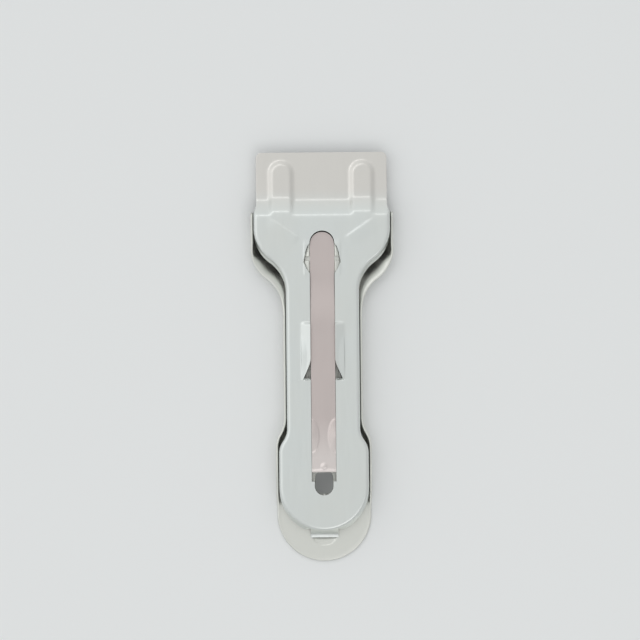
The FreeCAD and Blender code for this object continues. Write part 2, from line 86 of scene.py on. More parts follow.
TABLE_HALF = 1.5
TABLE_DROP = 0.05
table_mesh = bpy.data.meshes.new("table_top")
table_corners = [(x, y, cad_low[2] - TABLE_DROP * MM) for x, y in ((-1, -1), (1, -1), (1, 1), (-1, 1))]
table_mesh.from_pydata([(x * TABLE_HALF, y * TABLE_HALF, z) for x, y, z in table_corners], [], [(0, 1, 2, 3)])
table_top = bpy.data.objects.new("table_top", table_mesh)
bpy.context.collection.objects.link(table_top)
laminate = bpy.data.materials.new("matt_white_laminate")
laminate.use_nodes = True
laminate_shader = laminate.node_tree.nodes["Principled BSDF"]
laminate_shader.inputs["Base Color"].default_value = linear("#ECEDED")
laminate_shader.inputs["Roughness"].default_value = 0.8
laminate_shader.inputs["Specular IOR Level"].default_value = 0.2
table_mesh.materials.append(laminate)

SKY_DARK = 0.55
SKY_BRIGHT = 1.03
SKY_TURN = (-0.50, 0.68, 0.21)
sky = bpy.data.worlds.new("studio_sky")
bpy.context.scene.world = sky
sky.use_nodes = True
sky_shader = sky.node_tree.nodes["Background"]
sky_shader.inputs["Color"].default_value = linear("#F3F5F5")
towards = add_node(sky.node_tree, "ShaderNodeTexCoord").outputs["Generated"]
across_sky = add_node(sky.node_tree, "ShaderNodeVectorMath", {"operation": "DOT_PRODUCT"}, {
    0: towards, 1: SKY_TURN})
sky_grade = add_node(sky.node_tree, "ShaderNodeMapRange", None, {
    "Value": across_sky.outputs["Value"], "From Min": -1.0, "From Max": 1.0,
    "To Min": SKY_DARK, "To Max": SKY_BRIGHT})
sky.node_tree.links.new(sky_grade.outputs["Result"], sky_shader.inputs["Strength"])
bpy.context.scene.view_settings.view_transform = "Standard"


def soft_light(name, width, depth, power, place):
    """A rectangular area light at a place in metres, its width level, turned to face the tool."""
    lamp_data = bpy.data.lights.new(name, "AREA")
    lamp_data.shape = "RECTANGLE"
    lamp_data.size = width
    lamp_data.size_y = depth
    lamp_data.energy = power
    lamp = bpy.data.objects.new(name, lamp_data)
    bpy.context.collection.objects.link(lamp)
    lamp.location = place
    sideways = math.hypot(place[0], place[1])
    lamp.rotation_euler = (math.atan2(sideways, place[2]), 0.0, math.atan2(place[0], -place[1]))


soft_light("front_softbox", width=0.9, depth=0.35, power=0.6, place=(-0.26, 0.57, 1.08))
soft_light("left_softbox", width=0.9, depth=1.1, power=0.7, place=(-0.86, 0.1, 0.9))
soft_light("rear_softbox", width=0.86, depth=0.45, power=1.1, place=(0.27, -0.70, 0.9))

# Camera
# It looks straight down from a long way off, and its axis passes through the middle of the picture.
# The tool lies a little below that middle and is turned by well under a degree.
PICTURE = 640
MM_PER_PIXEL = 0.33066
ORIGIN_PIXEL = (323.0, 357.5)
CAMERA_HEIGHT = 1.1
SUBJECT_HEIGHT = 6.0
TOOL_TURN = math.radians(0.55)
SENSOR = 36.0
CAMERA_REACH = 10.0
camera_data = bpy.data.cameras.new("overhead_camera")
camera = bpy.data.objects.new("overhead_camera", camera_data)
bpy.context.collection.objects.link(camera)
bpy.context.scene.camera = camera
right = (PICTURE / 2 - ORIGIN_PIXEL[0]) * MM_PER_PIXEL * MM
up = (ORIGIN_PIXEL[1] - PICTURE / 2) * MM_PER_PIXEL * MM
camera.location = (right * math.cos(TOOL_TURN) + up * math.sin(TOOL_TURN),
                   up * math.cos(TOOL_TURN) - right * math.sin(TOOL_TURN), CAMERA_HEIGHT)
camera.rotation_euler = (0.0, 0.0, -TOOL_TURN)
camera_data.sensor_width = SENSOR
camera_data.lens = SENSOR * (CAMERA_HEIGHT - SUBJECT_HEIGHT * MM) / (PICTURE * MM_PER_PIXEL * MM)
camera_data.clip_end = CAMERA_REACH

# Handle shell
# The tray that the hand holds, pressed from sheet steel: a flat floor, a round bottom edge and an upright rim
# with a rounded top, rolled outwards into a lip at the shoulders and low round the tail. A pocket is coined
# into the tail's floor, and a window for the strap and a hole for a hook are punched in the floor.
shell_low, shell_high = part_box("handle_shell")
FRONT_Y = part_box("guard_cover")[1][1] / MM
TAIL_Y = shell_low[1] / MM
SHELL_SHEET = 0.8
SHELL_RIM = 5.4
SHELL_TAIL_RIM = 1.3
RIM_FALL_FROM = TAIL_Y + 34.0
RIM_FALL_TO = TAIL_Y + 18.0
TAIL_RUN_FROM = RIM_FALL_FROM - 8.0
WALL_RUN = 2.2
FRONT_WALL_RUN = 1.3
FRONT_CORNER = 1.6
LIP_RUN = 5.4
LIP_DIP = 1.2
TAIL_RUN = 2.0
WALL_CURVE = 2.2
LIP_CURVE = 1.4
SHELL_HALVES = (shell_high[0] / MM, 13.1, 15.9)
SHELL_SHOULDER_Y = FRONT_Y - 31.7
SHELL_STATIONS = SHELL_SHOULDER_Y - np.cumsum([0.0, 20.5, 35.7, 9.9, 22.2])
LIP_REAR_SPAN = (SHELL_STATIONS[1] - 2.0, SHELL_STATIONS[1] + 5.0)
LIP_FRONT_SPAN = (SHELL_SHOULDER_Y - 6.0, SHELL_SHOULDER_Y + 2.0)
HEAD_FRONT_Y = SHELL_SHOULDER_Y + 11.9
RAMP_TOP_Y = FRONT_Y - 23.2
RAMP_FOOT_Y = RAMP_TOP_Y - 3.8
DECK_TOP = 3.0
DECK_BEND = 0.10
HOOK_HALF = 3.0
HOOK_HALF_LENGTH = 3.7
HOOK_Y = FRONT_Y - 109.6
HOOK_POWER = 4
POCKET_HALF = 4.2
POCKET_LENGTH = 3.2
POCKET_DEPTH = 0.62
POCKET_CURVE = 2.5
POCKET_RIM = 0.13
POCKET_RIM_FROM = 0.86
POCKET_EDGE = 0.07
POCKET_Y = TAIL_Y + 8.5
POCKET_FAN = 0.012
LEAST_CHORD = 0.05
STRAP_HALF = 6.0
STRAP_FRONT_Y = FRONT_Y - 25.4
STRAP_REAR_Y = STRAP_FRONT_Y - 19.0
STRAP_GAP = 0.4
NEAR = 0.01


def smooth(value, start, end):
    """Cubic step: 0 at start, 1 at end, flat at both."""
    share = np.clip((value - start) / (end - start), 0.0, 1.0)
    return share * share * (3 - 2 * share)


def soft_ramp(share, softness):
    """Straight ramp from 0 to 1 with rounded ends: half the difference of two square-root corners."""
    return 0.5 * (np.sqrt(share**2 + softness**2) - np.sqrt((share - 1) ** 2 + softness**2) + 1)


def s_curve(y, y_from, half_from, y_to, half_to):
    """Half width along two equal tangent circular arcs that join two straight sides."""
    shift, run = half_from - half_to, y_from - y_to
    radius = (shift**2 + run**2) / (4 * abs(shift))
    way = np.sign(shift)
    first = half_from - way * (radius - np.sqrt(np.maximum(radius**2 - (y_from - y) ** 2, 0)))
    second = half_to + way * (radius - np.sqrt(np.maximum(radius**2 - (y - y_to) ** 2, 0)))
    return np.where(y > (y_from + y_to) / 2, first, second)


def handle_side(y, halves, stations):
    """Half width of a handle outline, piece by piece along y: head, S-shaped shoulder, waist, flare and bulb,
    down to the centre of its round tail."""
    head, waist, bulb = halves
    shoulder_y, waist_y, flare_y, bulb_y, _ = stations
    half = np.where(y > shoulder_y, head, s_curve(y, shoulder_y, head, waist_y, waist))
    half = np.where(y > waist_y, half, waist)
    half = np.where(y > flare_y, half, s_curve(y, flare_y, waist, bulb_y, bulb))
    return np.where(y > bulb_y, half, bulb)


def outward(x, y):
    """Unit normals of a side that runs from front to tail, turned a quarter turn left from its tangent."""
    along_x, along_y = np.gradient(x), np.gradient(y)
    size = np.hypot(along_x, along_y)
    return -along_y / size, along_x / size


def stack(x, y, z):
    """Three arrays, broadcast to one grid of points."""
    return np.stack(np.broadcast_arrays(x, y, z), axis=-1).astype(float)


def quads(rows, columns, first):
    """Quads of a grid of points that are numbered row by row from a first index."""
    index = first + np.arange(rows * columns).reshape(rows, columns)
    return np.stack([index[:-1, :-1], index[1:, :-1], index[1:, 1:], index[:-1, 1:]], axis=-1).reshape(-1, 4)


def mirrored(grid):
    """A grid on the other side of the middle plane, its rows reversed so that faces keep their side."""
    return (grid * (-1.0, 1.0, 1.0))[::-1]


WELD_GAP = 0.004
SLIVER = 0.001
SHARP_BEND = math.radians(50)


def sheet_piece(name, grids, material, body, thickness=0.0, edge=0.0):
    """Object from grids of points in millimetres, welded where they meet; a sheet gets a thickness behind its
    faces and a small rounded edge."""
    points, faces, count = [], [], 0
    for grid in grids:
        rows, columns = grid.shape[:2]
        points.append(grid.reshape(-1, 3) * MM)
        faces.append(quads(rows, columns, count))
        count += rows * columns
    mesh = bpy.data.meshes.new(name)
    mesh.from_pydata(np.concatenate(points).tolist(), [], np.concatenate(faces).tolist())
    work = bmesh.new()
    work.from_mesh(mesh)
    bmesh.ops.remove_doubles(work, verts=work.verts, dist=WELD_GAP * MM)
    bmesh.ops.dissolve_degenerate(work, edges=work.edges, dist=SLIVER * MM)
    work.to_mesh(mesh)
    work.free()
    mesh.materials.append(material)
    mesh.polygons.foreach_set("use_smooth", np.ones(len(mesh.polygons), dtype=bool))
    piece = bpy.data.objects.new(name, mesh)
    bpy.context.collection.objects.link(piece)
    if thickness:
        wall = piece.modifiers.new("wall", "SOLIDIFY")
        wall.thickness = thickness * MM
        wall.offset = -1.0
    if edge:
        rounding = piece.modifiers.new("rounding", "BEVEL")
        rounding.width = edge * MM
        rounding.segments = 2
        rounding.limit_method = "ANGLE"
        rounding.angle_limit = SHARP_BEND
    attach(piece, body)
    return piece


CLOUD_SIZE = 15.0
LINE_WIDTH = 0.4
LINE_LENGTH = 12.0
LINE_DEPTH = 0.03


def plated_steel(name, colour, cloud_colour, roughness, end_colour=None, end_from=0.0, end_to=1.0):
    """Cold-rolled sheet with a satin surface: a soft mirror, cloudy in tone, with rolling lines along the
    tool, which are drawn coarser than real ones so that they show. It may change to another tone towards one
    end, between two places along the tool."""
    material = bpy.data.materials.new(name)
    material.use_nodes = True
    tree = material.node_tree
    shader = tree.nodes["Principled BSDF"]
    shader.inputs["Metallic"].default_value = 1.0
    place = add_node(tree, "ShaderNodeTexCoord").outputs["Object"]
    cloud = add_node(tree, "ShaderNodeTexNoise", None, {
        "Vector": place, "Scale": 1 / (CLOUD_SIZE * MM), "Detail": 3.0})
    tone = add_node(tree, "ShaderNodeMix", {"data_type": "RGBA"}, {
        0: cloud.outputs["Fac"], 6: linear(colour), 7: linear(cloud_colour)})
    if end_colour:
        along = add_node(tree, "ShaderNodeSeparateXYZ", None, {"Vector": place}).outputs["Y"]
        fade = add_node(tree, "ShaderNodeMapRange", None, {
            "Value": along, "From Min": end_from * MM, "From Max": end_to * MM})
        tone = add_node(tree, "ShaderNodeMix", {"data_type": "RGBA"}, {
            0: fade.outputs["Result"], 6: tone.outputs[2], 7: linear(end_colour)})
    tree.links.new(tone.outputs[2], shader.inputs["Base Color"])
    line_across, line_along = 1 / (LINE_WIDTH * MM), 1 / (LINE_LENGTH * MM)
    stretch = add_node(tree, "ShaderNodeMapping", None, {
        "Vector": place, "Scale": (line_across, line_along, line_across)})
    lines = add_node(tree, "ShaderNodeTexNoise", None, {
        "Vector": stretch.outputs["Vector"], "Scale": 1.0, "Detail": 2.0})
    gloss = add_node(tree, "ShaderNodeMapRange", None, {
        "Value": lines.outputs["Fac"], "From Min": 0.3, "From Max": 0.7,
        "To Min": roughness - 0.05, "To Max": roughness + 0.06})
    tree.links.new(gloss.outputs["Result"], shader.inputs["Roughness"])
    grain = add_node(tree, "ShaderNodeBump", None, {
        "Height": lines.outputs["Fac"], "Strength": 0.12, "Distance": LINE_DEPTH * MM})
    tree.links.new(grain.outputs["Normal"], shader.inputs["Normal"])
    return material


# Bright zinc plate gone satin in the press: a light grey that blurs what it mirrors; its faint warm tint is a
# painted reflection.
shell_plate = plated_steel("satin_zinc_plate_shell", "#E2E2DC", "#DDDED8", roughness=0.38)

body_y = np.concatenate([
    np.linspace(RAMP_FOOT_Y, STRAP_REAR_Y + SHELL_SHEET + NEAR, 26),
    np.linspace(STRAP_REAR_Y + SHELL_SHEET - NEAR, SHELL_STATIONS[2], 50),
    np.linspace(SHELL_STATIONS[2], SHELL_STATIONS[3], 16)[1:],
    np.linspace(SHELL_STATIONS[3], HOOK_Y + HOOK_HALF_LENGTH, 10)[1:],
    HOOK_Y + HOOK_HALF_LENGTH * np.cos(np.linspace(0, math.pi, 25))[1:],
    np.linspace(HOOK_Y - HOOK_HALF_LENGTH, SHELL_STATIONS[4], 10)[1:],
])
tail_half = SHELL_HALVES[2]
pocket_angle = math.asin((SHELL_STATIONS[4] - POCKET_Y) / (tail_half - TAIL_RUN))
pocket_fan = pocket_angle + np.linspace(-POCKET_FAN, POCKET_FAN, 7)
tail_angle = np.append(np.linspace(0, math.pi / 2, 90)[1:], pocket_fan)
tail_angle = np.unique(np.round(tail_angle, 4))
shell_x = np.concatenate([handle_side(body_y, SHELL_HALVES, SHELL_STATIONS), tail_half * np.cos(tail_angle)])
shell_y = np.concatenate([body_y, SHELL_STATIONS[4] - tail_half * np.sin(tail_angle)])
shell_normal_x, shell_normal_y = outward(shell_x, shell_y)
shell_normal_x[-1], shell_normal_y[-1] = 0.0, -1.0
rim_z = SHELL_TAIL_RIM + (SHELL_RIM - SHELL_TAIL_RIM) * smooth(shell_y, RIM_FALL_TO, RIM_FALL_FROM)


def wall_section(rim, run, roll, low):
    """Section of the tray's wall as distance inwards and height, one row for each place along the rim. Its
    inside climbs as a power of the share of the run, or the other way round where the lip is rolled. The bead
    on top is half round and the outside lies one sheet away."""
    rim, run, roll, low = np.broadcast_arrays(rim[:, None], run, roll, low)
    half_sheet = SHELL_SHEET / 2
    share = np.linspace(0, 1, 18)
    climb = (1 - roll) * share**WALL_CURVE + roll * (1 - (1 - share) ** LIP_CURVE)
    reach = run - (run - half_sheet * (2 - roll)) * share
    height = low + (rim - half_sheet * (1 - roll) - low) * climb
    lean = np.arctan2(np.gradient(height, axis=1), -np.gradient(reach, axis=1))
    out_reach = reach - SHELL_SHEET * np.sin(lean)
    out_height = height - SHELL_SHEET * np.cos(lean)
    turn = np.linspace(0, math.pi, 9)[1:-1] - lean[:, -1:]
    bead_reach = (reach[:, -1:] + out_reach[:, -1:]) / 2 - half_sheet * np.sin(turn)
    bead_height = (height[:, -1:] + out_height[:, -1:]) / 2 + half_sheet * np.cos(turn)
    return (np.concatenate([reach, bead_reach, out_reach[:, ::-1], run], axis=1),
            np.concatenate([height, bead_height, out_height[:, ::-1], low - SHELL_SHEET], axis=1))


def floor_rise(y):
    """Height of the sheet above the tray's floor: a straight ramp up to the deck with rounded bends."""
    return (DECK_TOP - SHELL_SHEET) * soft_ramp((y - RAMP_FOOT_Y) / (RAMP_TOP_Y - RAMP_FOOT_Y), DECK_BEND)


def front_run(y):
    """Width of the round bottom edge, a cubic step along the ramp from the floor's width to the deck's."""
    return WALL_RUN + (FRONT_WALL_RUN - WALL_RUN) * smooth(y, RAMP_FOOT_Y, RAMP_TOP_Y)


def set_in(place, normal, reach):
    """One coordinate of a side's points, moved inwards along the normals, one column for each distance."""
    return place[:, None] - normal[:, None] * reach


on_shoulder = smooth(shell_y, *LIP_REAR_SPAN) * (1 - smooth(shell_y, *LIP_FRONT_SPAN))
on_tail = 1 - smooth(shell_y, RIM_FALL_TO, TAIL_RUN_FROM)
wall_run = WALL_RUN + (LIP_RUN - WALL_RUN) * on_shoulder + (TAIL_RUN - WALL_RUN) * on_tail
wall_low = SHELL_SHEET + floor_rise(shell_y)
wall_reach, wall_z = wall_section(rim_z - LIP_DIP * on_shoulder, wall_run[:, None],
                                  on_shoulder[:, None], wall_low[:, None])
rim_x = set_in(shell_x, shell_normal_x, wall_reach)
rim_y = set_in(shell_y, shell_normal_y, wall_reach)
rim_grid = stack(rim_x, rim_y, wall_z)

floor_edge_x, floor_edge_y = rim_x[:, 0], rim_y[:, 0]
hook_share = np.clip(np.abs(floor_edge_y - HOOK_Y) / HOOK_HALF_LENGTH, 0, 1)
hook_room = HOOK_HALF * (1 - hook_share**HOOK_POWER) ** (1 / HOOK_POWER)
in_window = floor_edge_y > STRAP_REAR_Y + SHELL_SHEET
floor_start = np.where(in_window, STRAP_HALF + STRAP_GAP, hook_room)
across = np.linspace(0, 1, 48)
floor_x = floor_start[:, None] + (floor_edge_x - floor_start)[:, None] * across
floor_y = np.broadcast_to(floor_edge_y[:, None], floor_x.shape)
behind = np.maximum(POCKET_Y - floor_y, 0) / POCKET_LENGTH
chord = np.sqrt(np.maximum(1 - (floor_x / POCKET_HALF) ** 2, LEAST_CHORD**2))
moon = np.hypot(floor_x / POCKET_HALF, behind)
pocket = POCKET_DEPTH * chord * np.maximum(1 - behind / chord, 0) ** POCKET_CURVE
pocket = pocket + POCKET_RIM * (1 - smooth(moon, POCKET_RIM_FROM, 1.0))
pocket = pocket * smooth(POCKET_Y - floor_y, -POCKET_EDGE, POCKET_EDGE) * (floor_x < POCKET_HALF)
floor_grid = stack(floor_x, floor_y, wall_low[:, None] - pocket)
under_grid = stack(floor_x, floor_y, wall_low[:, None] - SHELL_SHEET)[:, ::-1]
cut_edge = np.stack([under_grid[:, -1], floor_grid[:, 0]], axis=1)
hook_rows = np.flatnonzero(hook_room > NEAR)
window_edge = cut_edge[:np.count_nonzero(in_window) + 1]
hook_edge = cut_edge[hook_rows[0] - 1:hook_rows[-1] + 2]
floor_front = np.stack([under_grid[0, ::-1], floor_grid[0]])
pan = [floor_grid, rim_grid, under_grid, window_edge, hook_edge, floor_front]

corner_turn = np.linspace(0, math.pi / 2, 8)
front_y = np.concatenate([HEAD_FRONT_Y - FRONT_CORNER * (1 - np.cos(corner_turn)),
                          np.linspace(HEAD_FRONT_Y - FRONT_CORNER, RAMP_FOOT_Y, 20)[1:]])
front_rim = np.full(len(front_y), SHELL_RIM)
front_rim[:len(corner_turn)] -= FRONT_CORNER * (1 - np.sin(corner_turn))
front_low = SHELL_SHEET + floor_rise(front_y)
front_reach, front_z = wall_section(front_rim, front_run(front_y)[:, None], 0.0, front_low[:, None])
front_wall = stack(SHELL_HALVES[0] - front_reach, front_y[:, None], front_z)
front_wall = np.concatenate([front_wall, front_wall[:, :1]], axis=1)
half_way = front_wall.shape[1] // 2
front_end = np.stack([front_wall[0, -2:half_way - 1:-1], front_wall[0, :half_way]])
pan += [front_wall, front_end]
pan += [mirrored(grid) for grid in pan]
handle_pan = sheet_piece("handle_pan", pan, shell_plate, "handle")
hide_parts("handle_shell")

# Blade deck
# The front of the same sheet, bent up from the floor by a ramp into a flat shelf that the blade lies on. Its
# front corners are rounded, and it is narrower than the head so that the guard's hems pass beside it. It is a
# hair thinner and lower than the tray's sheet, so that their faces don't coincide where they overlap.
DECK_HALF = 20.3
DECK_FRONT_Y = shell_high[1] / MM
DECK_CORNER = 2.0
DECK_LAP = 0.3
DECK_SHEET = SHELL_SHEET - 0.06
DECK_SINK = 0.01
DECK_BREAK = 0.02


def spaced(start, end, spacing):
    """Evenly spaced values from start to end, both kept, about as far apart as the spacing."""
    return np.linspace(start, end, int(abs(end - start) / spacing) + 2)


deck_y = np.concatenate([
    DECK_FRONT_Y - DECK_CORNER * (1 - np.cos(corner_turn)),
    spaced(DECK_FRONT_Y - DECK_CORNER - 0.5, RAMP_TOP_Y + DECK_BREAK, 0.8),
    spaced(RAMP_TOP_Y - DECK_BREAK, RAMP_FOOT_Y - DECK_LAP, 0.25),
])
deck_half = np.where(deck_y > RAMP_TOP_Y, DECK_HALF, SHELL_HALVES[0] - front_run(deck_y))
deck_half[:len(corner_turn)] = DECK_HALF - DECK_CORNER * (1 - np.sin(corner_turn))
deck_z = SHELL_SHEET + floor_rise(deck_y) - DECK_SINK
deck_grid = stack(deck_half[:, None] * np.linspace(-1, 1, 41), deck_y[:, None], deck_z[:, None])
sheet_piece("blade_deck", [deck_grid], shell_plate, "handle", thickness=DECK_SHEET, edge=0.12)

# Spring strap and its ears
# A bridge lanced out of the shell's floor and pressed up, which the leaf spring lies on. Two ears on each
# side are bent up beside the strip and rolled outwards under the cover, to hold the strip's front end in
# line. The front ears slope down to the front.
STRAP_LEG = 4.2
STRAP_TOP = 5.35
STRAP_BEND = 0.14
EAR_SHEET = 0.4
EAR_INNER = 4.15
EAR_BEND = 0.35
EAR_TOP = 6.65
EAR_REACH = 6.0
EAR_FALL = 0.3
EAR_SPANS = ((FRONT_Y - 30.6, FRONT_Y - 34.4), (FRONT_Y - 36.0, FRONT_Y - 39.4))
EAR_FOOT = STRAP_TOP - 0.1
EAR_PITCHES = (0.55, 0.0)
strap_y = spaced(STRAP_FRONT_Y, STRAP_REAR_Y, 0.3)
rise = soft_ramp((STRAP_FRONT_Y - strap_y) / STRAP_LEG, STRAP_BEND)
fall = soft_ramp((strap_y - STRAP_REAR_Y) / STRAP_LEG, STRAP_BEND)
strap_foot = SHELL_SHEET + floor_rise(strap_y)
strap_z = strap_foot + (STRAP_TOP - strap_foot) * np.minimum(rise, fall)
strap_grid = stack(STRAP_HALF * np.linspace(-1, 1, 21), strap_y[:, None], strap_z[:, None])
sheet_piece("spring_strap", [strap_grid], shell_plate, "handle",
            thickness=SHELL_SHEET, edge=0.1)

ear_turn = np.linspace(math.pi / 2, 0, 7)[1:]
ear_x = np.concatenate([
    [EAR_INNER, EAR_INNER],
    EAR_INNER + EAR_BEND * (1 - np.sin(ear_turn)),
    np.linspace(EAR_INNER + EAR_BEND, EAR_REACH, 6)[1:],
])
ear_z = np.concatenate([
    [EAR_FOOT, EAR_TOP - EAR_BEND],
    EAR_TOP - EAR_BEND + EAR_BEND * np.cos(ear_turn),
    np.linspace(EAR_TOP, EAR_TOP - EAR_FALL, 6)[1:],
])
ears = []
for span, pitch in zip(EAR_SPANS, EAR_PITCHES):
    ear_y = spaced(*span, 0.3)[:, None]
    forward = (ear_y - span[1]) / (span[0] - span[1])
    ears.append(stack(ear_x, ear_y, EAR_FOOT + (ear_z - EAR_FOOT) * (1 - pitch * forward)))
ears += [mirrored(grid) for grid in ears]
sheet_piece("spring_ears", ears, shell_plate, "handle", thickness=EAR_SHEET, edge=0.06)

# Blade lugs
# Two studs half pierced out of the deck. They stand up through the blade's holes and hold it in place, and
# the guard's two raised channels pass over them.
LUG_RADIUS = 1.5
LUG_X = 13.4
LUG_Y = FRONT_Y - 13.0
LUG_TOP = 4.2
LUG_CHAMFER = 0.5
LUG_FLAT = 0.9
lug_turn = np.linspace(0, 2 * math.pi, 33)
lug_radius = np.array([0, LUG_FLAT, LUG_RADIUS - LUG_CHAMFER, LUG_RADIUS, LUG_RADIUS, 0])
lug_low = DECK_TOP - SHELL_SHEET / 2
lug_z = np.array([LUG_TOP, LUG_TOP, LUG_TOP, LUG_TOP - LUG_CHAMFER, lug_low, lug_low])
lug_x = LUG_X + lug_radius * np.cos(lug_turn)[::-1, None]
lug_y = LUG_Y + lug_radius * np.sin(lug_turn)[::-1, None]
lug_grid = stack(lug_x, lug_y, lug_z)
sheet_piece("blade_lugs", [lug_grid, mirrored(lug_grid)], shell_plate, "handle")

# Scraper blade
# A single-edged carbon steel blade, stamped and ground, lightly oiled. It drops over the two lugs on the
# deck, and the guard hides it until the cover is pushed back. Grinding leaves it darker and glossier than
# the plated sheet.
blade_steel = plated_steel("ground_carbon_steel", "#C6C9CB", "#B8BCBF", roughness=0.30)
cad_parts["scraper_blade"].data.materials.clear()
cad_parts["scraper_blade"].data.materials.append(blade_steel)

# Leaf spring
# A strip of tempered spring steel that lies on the strap at its round front end and rises gently to the rear.
# A thumb dish with raised edges, a nib and a turned-up end let a thumb press it down to free the cover.
SPRING_HALF = 4.0
SPRING_SHEET = 0.5
SPRING_FRONT_Y = FRONT_Y - 26.4
SPRING_END_Y = SPRING_FRONT_Y - 79.4
SPRING_LOW = STRAP_TOP + SPRING_SHEET
SPRING_RISE = 1.1
SPRING_FLAT = 15.0
SPRING_RISE_RUN = 16.0
SPRING_NOSE = 0.02
SPRING_FADE = (SPRING_END_Y + 17.8, SPRING_END_Y + 4.8)
DISH_Y = SPRING_END_Y + 12.0
DISH_HALF_LENGTH = 6.0
DISH_REACH = 2.7
DISH_LIFT = 0.62
DISH_EDGE = 0.12
DISH_EDGE_FROM = 0.84
DISH_SOFT = 0.03
NIB_Y = SPRING_END_Y + 1.9
NIB_RADIUS = 1.4
NIB_FLAT = 0.2
NIB_HEIGHT = 0.3
END_RISE = 0.4
END_RISE_RUN = 10.0
END_RISE_CURVE = 1.3
END_LIP = 0.22
END_LIP_RUN = 1.0
END_LIP_FLAT = 0.3
END_LIP_BOW = 0.35
cap = np.linspace(0, math.pi / 2, 16)
spring_y = np.concatenate([
    SPRING_FRONT_Y - SPRING_HALF * (1 - np.cos(cap)),
    spaced(SPRING_FRONT_Y - SPRING_HALF, DISH_Y + DISH_HALF_LENGTH + 1, 0.8)[1:],
    spaced(DISH_Y + DISH_HALF_LENGTH + 1, SPRING_END_Y, 0.14)[1:],
])
spring_half = np.full(len(spring_y), SPRING_HALF)
spring_half[:len(cap)] = SPRING_HALF * np.sin(cap)
spring_half[0] = SPRING_NOSE
spring_x = spring_half[:, None] * np.linspace(-1, 1, 57)
spring_row = spring_y[:, None]
spring_z = SPRING_LOW + SPRING_RISE * smooth(-spring_row, SPRING_FLAT - SPRING_FRONT_Y,
                                             SPRING_FLAT + SPRING_RISE_RUN - SPRING_FRONT_Y)
ellipse = np.hypot((SPRING_HALF - np.abs(spring_x)) / DISH_REACH, (spring_row - DISH_Y) / DISH_HALF_LENGTH)
spring_z = spring_z + DISH_LIFT * 0.5 * (1 - ellipse + np.hypot(1 - ellipse, DISH_SOFT))
spring_z = spring_z + DISH_EDGE * (1 - smooth(ellipse, DISH_EDGE_FROM, 1.0))
from_end = spring_row - SPRING_END_Y
spring_z = spring_z + END_RISE * np.clip(1 - from_end / END_RISE_RUN, 0, 1) ** END_RISE_CURVE
spring_z = spring_z + NIB_HEIGHT * (1 - smooth(np.hypot(spring_x, spring_row - NIB_Y), NIB_FLAT, NIB_RADIUS))
lip_bow = END_LIP_BOW * (1 - (spring_x / SPRING_HALF) ** 2)
spring_z = spring_z + END_LIP * smooth(-from_end, -END_LIP_RUN - lip_bow, -END_LIP_FLAT)
spring_grid = stack(spring_x, spring_row, spring_z)

# The strip is a brownish grey with a dull shine, paler towards its rear end.
spring_strip = plated_steel("tempered_spring_strip", "#D2C7C4", "#CBC0BD", 0.36, "#DFD7D4", *SPRING_FADE)
leaf_spring = sheet_piece("spring_leaf", [spring_grid], spring_strip, "latch",
                          thickness=SPRING_SHEET, edge=0.06)
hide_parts("leaf_spring")

# Guard cover
# The sliding cover, pressed from thinner sheet: a flat top with a rounded edge and a skirt that runs inside
# the tray's rim, a slot for the spring with a wider window, sloping thumb cheeks, and a step down to the flat
# guard over the blade with its two raised channels.
COVER_SHEET = 0.7
COVER_TOP = 7.5
COVER_ROUND = 1.2
COVER_HALVES = (22.55, 12.1, 14.8)
COVER_SHOULDER_Y = FRONT_Y - 25.1
COVER_STATIONS = COVER_SHOULDER_Y - np.cumsum([0.0, 20.5, 45.6, 8.3, 10.9])
SKIRT_LOW = 2.6
SKIRT_LOW_HEAD = 3.4
SKIRT_LOW_SHOULDER = 4.3
LEDGE_Z = 5.0
LEDGE_REACH = 1.2
LEDGE_REAR_SPAN = (COVER_STATIONS[1] - 9.0, COVER_STATIONS[1] - 3.0)
LEDGE_FRONT_SPAN = (COVER_SHOULDER_Y, COVER_SHOULDER_Y + 3.0)
LEDGE_SHARES = np.array([0, 0.17, 0.22, 0.35, 0.6, 0.88, 0.97, 1, 1])
LEDGE_LEVELS = np.array([0, 0.5, 0.4, 0.28, 0.08, -0.22, -0.4, -0.7, 0])
TAIL_LEVELS = np.array([0, 0.99, 0.89, 0.65, 0.19, -0.33, -0.49, -0.7, 0])
TAIL_LEDGE_RUN = 8.0
TONGUE_HALF = 4.6
TONGUE_SPAN = (TONGUE_HALF - 0.6, TONGUE_HALF + 2.4)
PLATE_TOP = 4.1
PLATE_HALF = 21.65
PLATE_CORNER = 1.8
PLATE_ROUND = 0.12
STEP_FOOT_Y = FRONT_Y - 15.9
CREST_Y = STEP_FOOT_Y - 4.7
STEP_BEND = 0.11
FLARE_FROM_Y = STEP_FOOT_Y - 1.2
ROUND_FROM_Y = STEP_FOOT_Y - 1.5
ROUND_TO_Y = CREST_Y - 0.6
# painted reflection: the span where the cover's tint turns warmer over the guard
GUARD_REFLECTION_SPAN = (FRONT_Y - 20.0, FRONT_Y - 12.0)
RIB_X = LUG_X
RIB_TOP_HALF = 2.95
RIB_FOOT_HALF = 4.25
RIB_HEIGHT = 0.8
RIB_BEND = 0.12
RIB_FRONT_Y = FRONT_Y - 2.6
RIB_FOOT_Y = STEP_FOOT_Y + 0.9
RIB_CREST_Y = CREST_Y + 1.1
CREASE_FROM = (17.0, CREST_Y - 1.4)
CREASE_TO = (7.7, CREST_Y - 7.8)
CREASE_HEIGHT = 0.14
CREASE_START = (-1.0, 2.5)
CREASE_STOP = (-1.5, 0.6)
CREASE_RISE_RUN = 0.55
CREASE_FALL_RUN = 5.0
COLLAR_HALF = 6.4
COLLAR_HEIGHT = 0.14
COLLAR_RUN = 0.7
SLOT_HALF = 4.1
SLOT_FRONT_Y = FRONT_Y - 26.0
SLOT_REAR_Y = SLOT_FRONT_Y - 82.9
SLOT_END_HALF = 3.1
WINDOW_HALF = 6.2
WINDOW_FRONT_Y = FRONT_Y - 30.4
WINDOW_WIDE_Y = WINDOW_FRONT_Y - 6.0
